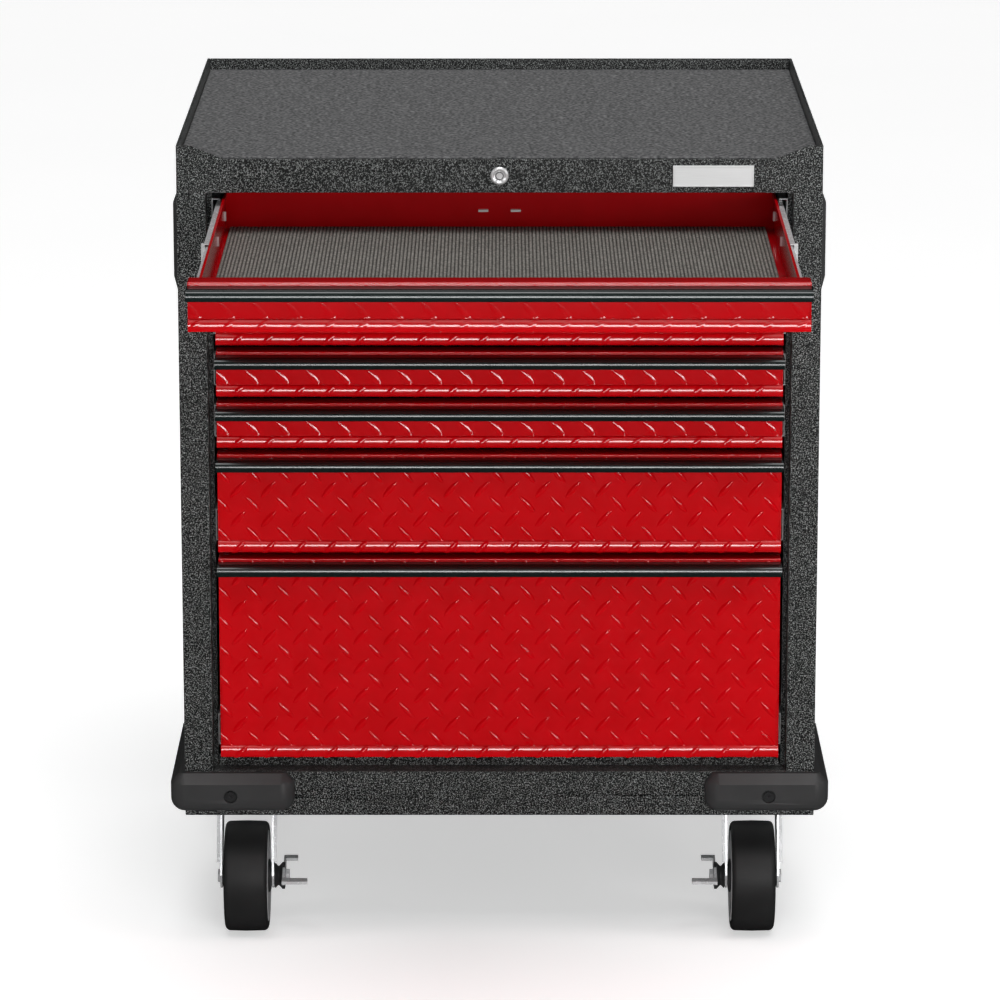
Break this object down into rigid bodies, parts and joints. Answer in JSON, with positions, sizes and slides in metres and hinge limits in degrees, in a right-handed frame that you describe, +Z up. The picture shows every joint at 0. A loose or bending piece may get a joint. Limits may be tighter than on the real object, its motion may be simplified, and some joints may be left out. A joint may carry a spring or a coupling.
{
  "type": "rolling tool chest",
  "caption": "Rolling steel tool chest with full-extension lockable drawers, a lined and rimmed top, side handles, corner bumpers and swivel and rigid casters.",
  "frame": {"origin": "on the floor, at the centre of the footprint as it stands with the top drawer open", "axes": "+Z up, +X to the right seen from the drawers, -Y the way the drawers open"},
  "size_m": [0.7472, 1.164, 0.9262],
  "materials": {
    "hammertone": "hammertone powder coat, black with fine light-grey veining",
    "gloss_red": "high-gloss red powder coat",
    "pull": "gloss charcoal",
    "zinc": "bright zinc plate",
    "chrome": "polished",
    "badge": "satin, blank",
    "moulded": "fine moulded texture",
    "black_screw": "black oxide",
    "mat": "fine pebbled",
    "tyre": "solid rubber tread on a grey core"
  },
  "bodies": {
    "root": {"side_panels": "hammertone", "back_panel": "hammertone", "base_pan": "hammertone", "top_panel": "hammertone", "top_mat": "mat", "slide_posts": "hammertone", "cabinet_runners": "zinc", "side_handles": "moulded", "corner_bumpers": "moulded", "bumper_screws": "black_screw", "badge_plate": "badge", "lock_housing": "chrome", "swivel_plates": "zinc", "rigid_forks": "zinc"},
    "lock_core": {"lock_plug": "chrome", "lock_rod": "zinc"},
    "lock_lift": {"lock_bar": "zinc"},
    "caster_left": {"swivel_fork_left": "zinc"},
    "caster_right": {"swivel_fork_right": "zinc"},
    "wheel_fl": {"wheel_front_left": "tyre"},
    "wheel_fr": {"wheel_front_right": "tyre"},
    "wheel_rl": {"wheel_rear_left": "tyre"},
    "wheel_rr": {"wheel_rear_right": "tyre"},
    "pedal_left": {"brake_left": "zinc"},
    "pedal_right": {"brake_right": "zinc"},
    "drawer_1": {"drawer_1_tray": "gloss_red", "drawer_1_front": "gloss_red", "drawer_1_handle": "pull", "drawer_1_runners": "zinc"},
    "mid_slide_1": {"drawer_1_mid_runners": "zinc"},
    "drawer_2": {"drawer_2_tray": "gloss_red", "drawer_2_front": "gloss_red", "drawer_2_handle": "pull", "drawer_2_runners": "zinc"},
    "mid_slide_2": {"drawer_2_mid_runners": "zinc"},
    "drawer_3": {"drawer_3_tray": "gloss_red", "drawer_3_front": "gloss_red", "drawer_3_handle": "pull", "drawer_3_runners": "zinc"},
    "mid_slide_3": {"drawer_3_mid_runners": "zinc"},
    "drawer_4": {"drawer_4_tray": "gloss_red", "drawer_4_front": "gloss_red", "drawer_4_handle": "pull", "drawer_4_runners": "zinc"},
    "mid_slide_4": {"drawer_4_mid_runners": "zinc"},
    "drawer_5": {"drawer_5_tray": "gloss_red", "drawer_5_front": "gloss_red", "drawer_5_handle": "pull", "drawer_5_runners": "zinc"},
    "mid_slide_5": {"drawer_5_mid_runners": "zinc"},
    "drawer_6": {"drawer_6_tray": "gloss_red", "drawer_6_front": "gloss_red", "drawer_6_handle": "pull", "drawer_6_runners": "zinc"},
    "mid_slide_6": {"drawer_6_mid_runners": "zinc"},
    "drawer_7": {"drawer_7_tray": "gloss_red", "drawer_7_front": "gloss_red", "drawer_7_handle": "pull", "drawer_7_runners": "zinc"},
    "mid_slide_7": {"drawer_7_mid_runners": "zinc"}
  },
  "joints": [
    {"name": "drawer_1_slide", "type": "slide", "parent": "root", "child": "drawer_1", "axis": [0, -1, 0], "range_m": [-0.493, 0.032]},
    {"name": "mid_slide_1_travel", "type": "slide", "parent": "root", "child": "mid_slide_1", "axis": [0, -1, 0], "range_m": [-0.2466, 0.0161]},
    {"name": "drawer_2_slide", "type": "slide", "parent": "root", "child": "drawer_2", "axis": [0, -1, 0], "range_m": [0, 0.525]},
    {"name": "mid_slide_2_travel", "type": "slide", "parent": "root", "child": "mid_slide_2", "axis": [0, -1, 0], "range_m": [0, 0.2626]},
    {"name": "drawer_3_slide", "type": "slide", "parent": "root", "child": "drawer_3", "axis": [0, -1, 0], "range_m": [0, 0.525]},
    {"name": "mid_slide_3_travel", "type": "slide", "parent": "root", "child": "mid_slide_3", "axis": [0, -1, 0], "range_m": [0, 0.2626]},
    {"name": "drawer_4_slide", "type": "slide", "parent": "root", "child": "drawer_4", "axis": [0, -1, 0], "range_m": [0, 0.525]},
    {"name": "mid_slide_4_travel", "type": "slide", "parent": "root", "child": "mid_slide_4", "axis": [0, -1, 0], "range_m": [0, 0.2626]},
    {"name": "drawer_5_slide", "type": "slide", "parent": "root", "child": "drawer_5", "axis": [0, -1, 0], "range_m": [0, 0.525]},
    {"name": "mid_slide_5_travel", "type": "slide", "parent": "root", "child": "mid_slide_5", "axis": [0, -1, 0], "range_m": [0, 0.2626]},
    {"name": "drawer_6_slide", "type": "slide", "parent": "root", "child": "drawer_6", "axis": [0, -1, 0], "range_m": [0, 0.525]},
    {"name": "mid_slide_6_travel", "type": "slide", "parent": "root", "child": "mid_slide_6", "axis": [0, -1, 0], "range_m": [0, 0.2626]},
    {"name": "drawer_7_slide", "type": "slide", "parent": "root", "child": "drawer_7", "axis": [0, -1, 0], "range_m": [0, 0.525]},
    {"name": "mid_slide_7_travel", "type": "slide", "parent": "root", "child": "mid_slide_7", "axis": [0, -1, 0], "range_m": [0, 0.2626]},
    {"name": "caster_left_swivel", "type": "hinge", "parent": "root", "child": "caster_left", "pos_m": [-0.29, 0.041, 0], "axis": [0, 0, 1], "continuous": true},
    {"name": "wheel_fl_spin", "type": "hinge", "parent": "caster_left", "child": "wheel_fl", "pos_m": [-0.29, 0.006, 0.0635], "axis": [1, 0, 0], "continuous": true},
    {"name": "wheel_rl_spin", "type": "hinge", "parent": "root", "child": "wheel_rl", "pos_m": [-0.29, 0.491, 0.0635], "axis": [1, 0, 0], "continuous": true},
    {"name": "brake_left_tip", "type": "hinge", "parent": "caster_left", "child": "pedal_left", "pos_m": [-0.29, 0.006, 0.0635], "axis": [1, 0, 0], "range_deg": [0, 18]},
    {"name": "caster_right_swivel", "type": "hinge", "parent": "root", "child": "caster_right", "pos_m": [0.29, 0.041, 0], "axis": [0, 0, 1], "continuous": true},
    {"name": "wheel_fr_spin", "type": "hinge", "parent": "caster_right", "child": "wheel_fr", "pos_m": [0.29, 0.006, 0.0635], "axis": [1, 0, 0], "continuous": true},
    {"name": "wheel_rr_spin", "type": "hinge", "parent": "root", "child": "wheel_rr", "pos_m": [0.29, 0.491, 0.0635], "axis": [1, 0, 0], "continuous": true},
    {"name": "brake_right_tip", "type": "hinge", "parent": "caster_right", "child": "pedal_right", "pos_m": [0.29, 0.006, 0.0635], "axis": [1, 0, 0], "range_deg": [0, 18]},
    {"name": "lock_turn", "type": "hinge", "parent": "root", "child": "lock_core", "pos_m": [0, -0.069, 0.89235], "axis": [0, -1, 0], "range_deg": [0, 90]},
    {"name": "lock_bar_lift", "type": "slide", "parent": "root", "child": "lock_lift", "axis": [0, 0, 1], "range_m": [0, 0.01202]}
  ],
  "couplings": [
    {"joint": "mid_slide_1_travel", "follows": "drawer_1_slide", "ratio": 0.5},
    {"joint": "mid_slide_2_travel", "follows": "drawer_2_slide", "ratio": 0.5},
    {"joint": "mid_slide_3_travel", "follows": "drawer_3_slide", "ratio": 0.5},
    {"joint": "mid_slide_4_travel", "follows": "drawer_4_slide", "ratio": 0.5},
    {"joint": "mid_slide_5_travel", "follows": "drawer_5_slide", "ratio": 0.5},
    {"joint": "mid_slide_6_travel", "follows": "drawer_6_slide", "ratio": 0.5},
    {"joint": "mid_slide_7_travel", "follows": "drawer_7_slide", "ratio": 0.5},
    {"joint": "lock_turn", "follows": "lock_bar_lift", "rad_per_m": 130.67}
  ]
}
